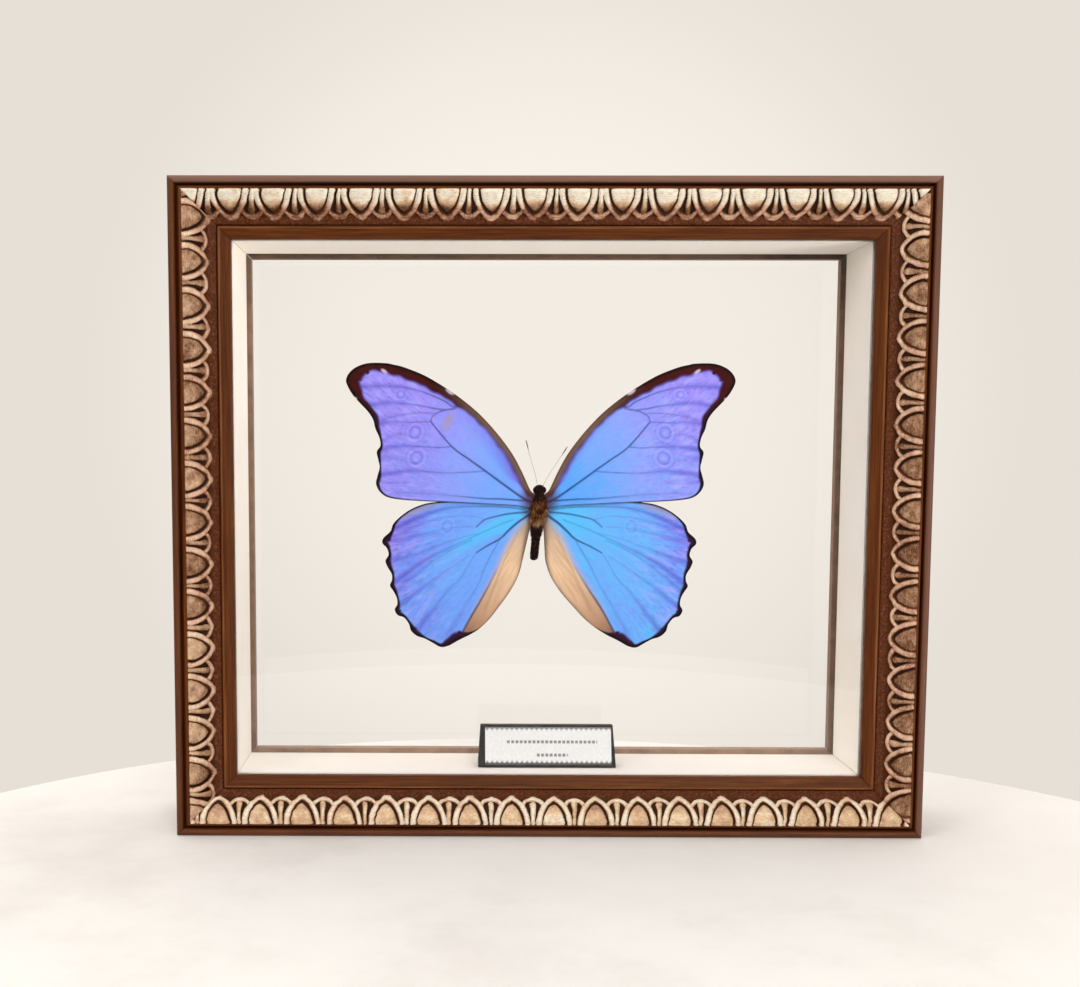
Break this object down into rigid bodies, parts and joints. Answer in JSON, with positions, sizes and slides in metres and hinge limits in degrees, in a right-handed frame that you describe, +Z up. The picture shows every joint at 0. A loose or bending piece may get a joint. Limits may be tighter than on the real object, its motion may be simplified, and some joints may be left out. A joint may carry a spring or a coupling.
{
  "type": "framed butterfly specimen",
  "caption": "Blue butterfly with spread wings, fixed between clear panes in a deep wooden frame with a gilt leaf border; it stands upright, with a small blank label inside.",
  "frame": {"origin": "middle of the base, half way through the frame's depth", "axes": "+X to the right as seen from the front, +Y from the front to the back, +Z up"},
  "size_m": [0.254, 0.046, 0.221],
  "materials": {
    "frame_wood": "satin brown, with worn champagne gilt on the raised leaf border",
    "glass": "clear float glass",
    "liner": "matt cream",
    "stop_wood": "dark brown stain",
    "label_holder": "black",
    "label_card": "matt white",
    "insect_body": "dark brown with golden hairs",
    "forewing": "violet blue scales, dark brown edges",
    "hindwing": "sky blue scales, tan inner edge, dark edges",
    "antenna": "dark brown",
    "glue": "clear"
  },
  "bodies": {
    "root": {"frame_rail_bottom": "frame_wood", "frame_rail_top": "frame_wood", "frame_rail_left": "frame_wood", "frame_rail_right": "frame_wood", "front_glass": "glass", "rear_glass": "glass", "liner_bottom": "liner", "liner_top": "liner", "liner_left": "liner", "liner_right": "liner", "rear_stop_bottom": "stop_wood", "rear_stop_top": "stop_wood", "rear_stop_left": "stop_wood", "rear_stop_right": "stop_wood", "label_holder": "label_holder", "label_card": "label_card", "butterfly_body": "insect_body", "forewing_left": "forewing", "forewing_right": "forewing", "hindwing_left": "hindwing", "hindwing_right": "hindwing", "antenna_left": "antenna", "antenna_right": "antenna", "glue_dab": "glue"}
  },
  "joints": []
}
